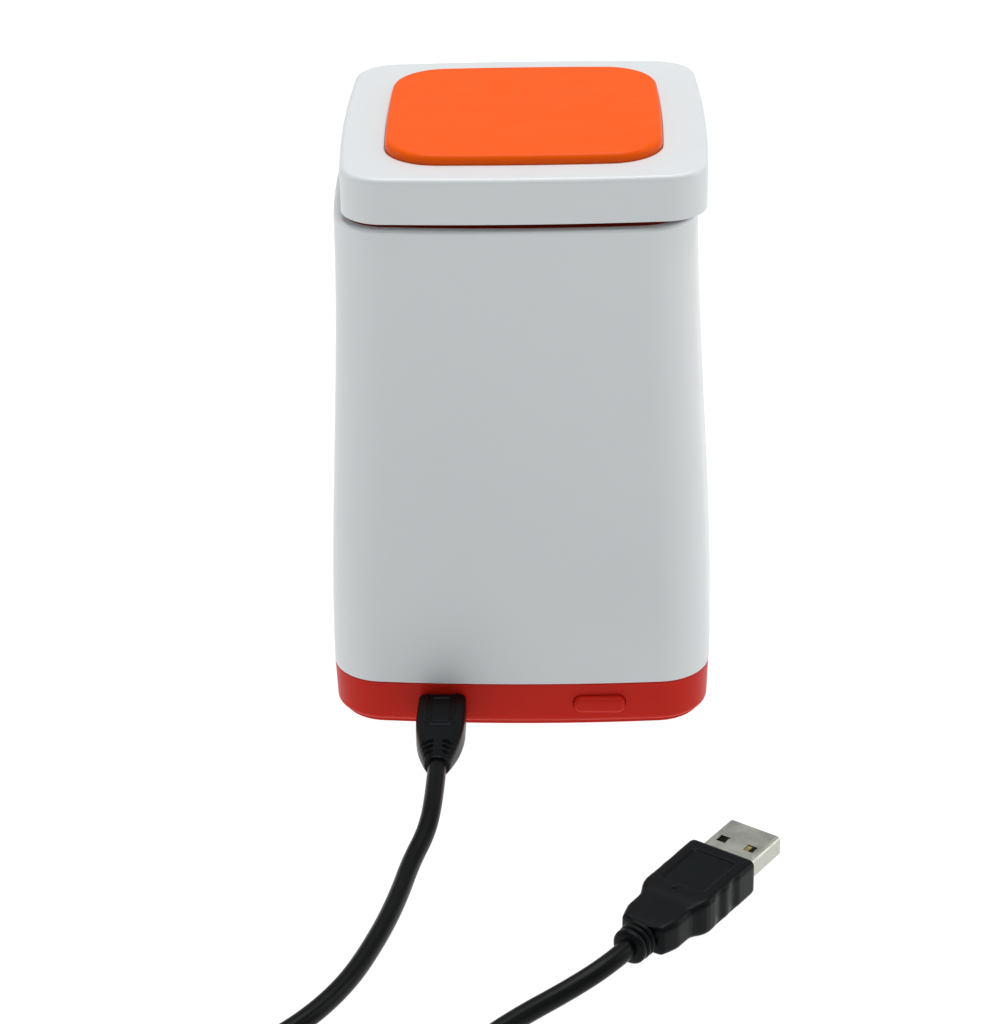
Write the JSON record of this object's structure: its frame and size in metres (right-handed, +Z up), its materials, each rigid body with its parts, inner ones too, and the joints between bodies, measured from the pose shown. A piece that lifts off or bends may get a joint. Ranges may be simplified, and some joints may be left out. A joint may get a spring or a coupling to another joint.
{
  "type": "small desktop waste bin",
  "caption": "Small square bin with a lift-off padded lid, a lift-out bucket and a powered base with fan, filter, press button and a plugged-in power lead.",
  "frame": {"origin": "centre of the footprint, on the surface that the bin stands on", "axes": "+Z up, front with port and button towards -Y, +X to the right seen from the front"},
  "size_m": [0.1198, 0.2675, 0.1286],
  "materials": {
    "white_case": "satin moulded ABS",
    "orange_case": "fine satin moulded ABS",
    "orange_pad": "soft satin moulded plastic",
    "bucket_plastic": "satin moulded polypropylene",
    "grey_plastic": "moulded ABS",
    "black_plastic": "moulded, glass filled",
    "foot_rubber": "matt",
    "seal_rubber": "matt silicone",
    "screw_steel": "zinc plated",
    "connector_steel": "nickel plated",
    "contact_brass": "plated",
    "board_laminate": "solder mask",
    "chip_epoxy": "moulded",
    "socket_nylon": "moulded nylon",
    "cell_wrap": "foil pouch",
    "foam_tape": "closed-cell foam",
    "filter_carbon": "open-cell carbon foam",
    "wire_jacket": "silicone",
    "cord_jacket": "satin PVC",
    "grip_pvc": "fine matt PVC",
    "tie_fabric": "woven hook-and-loop"
  },
  "bodies": {
    "housing": {"base_tray": "orange_case", "rubber_feet": "foot_rubber", "case_screws": "screw_steel", "body_shell": "white_case", "deck_plate": "grey_plastic", "fan_frame": "black_plastic", "fan_screws": "screw_steel", "filter_frame": "black_plastic", "filter_foam": "filter_carbon", "filter_grille": "grey_plastic", "main_board": "board_laminate", "board_screws": "screw_steel", "board_chips": "chip_epoxy", "wire_sockets": "socket_nylon", "usb_socket": "connector_steel", "usb_socket_tongue": "chip_epoxy", "tact_switch": "chip_epoxy", "battery_cell": "cell_wrap", "battery_pad": "foam_tape", "battery_lead": "wire_jacket", "fan_lead": "wire_jacket", "micro_b_shell": "connector_steel", "micro_b_grip": "grip_pvc", "cord_lead": "cord_jacket", "cord_coil": "cord_jacket", "cord_tail": "cord_jacket", "coil_tie": "tie_fabric", "usb_a_grip": "grip_pvc", "usb_a_shell": "connector_steel", "usb_a_insert": "chip_epoxy", "usb_a_contacts": "contact_brass"},
    "button": {"button_cap": "orange_case", "switch_plunger": "chip_epoxy"},
    "fan_rotor": {"fan_rotor": "black_plastic"},
    "bucket": {"bin_bucket": "bucket_plastic"},
    "lid": {"lid_shell": "white_case", "lid_pad": "orange_pad", "lid_liner": "white_case", "lid_seal": "seal_rubber", "lid_screws": "screw_steel"}
  },
  "joints": [
    {"name": "bucket_lift", "type": "slide", "parent": "housing", "child": "bucket", "axis": [0, 0, 1], "range_m": [0, 0.095]},
    {"name": "lid_lift", "type": "slide", "parent": "bucket", "child": "lid", "axis": [0, 0, 1], "range_m": [0, 0.06]},
    {"name": "button_press", "type": "slide", "parent": "housing", "child": "button", "axis": [0, 1, 0], "range_m": [0, 0.0006], "stiffness_N_per_m": 1500},
    {"name": "fan_spin", "type": "hinge", "parent": "housing", "child": "fan_rotor", "pos_m": [-0.008, 0.004, 0.011], "axis": [0, 0, 1], "continuous": true}
  ]
}
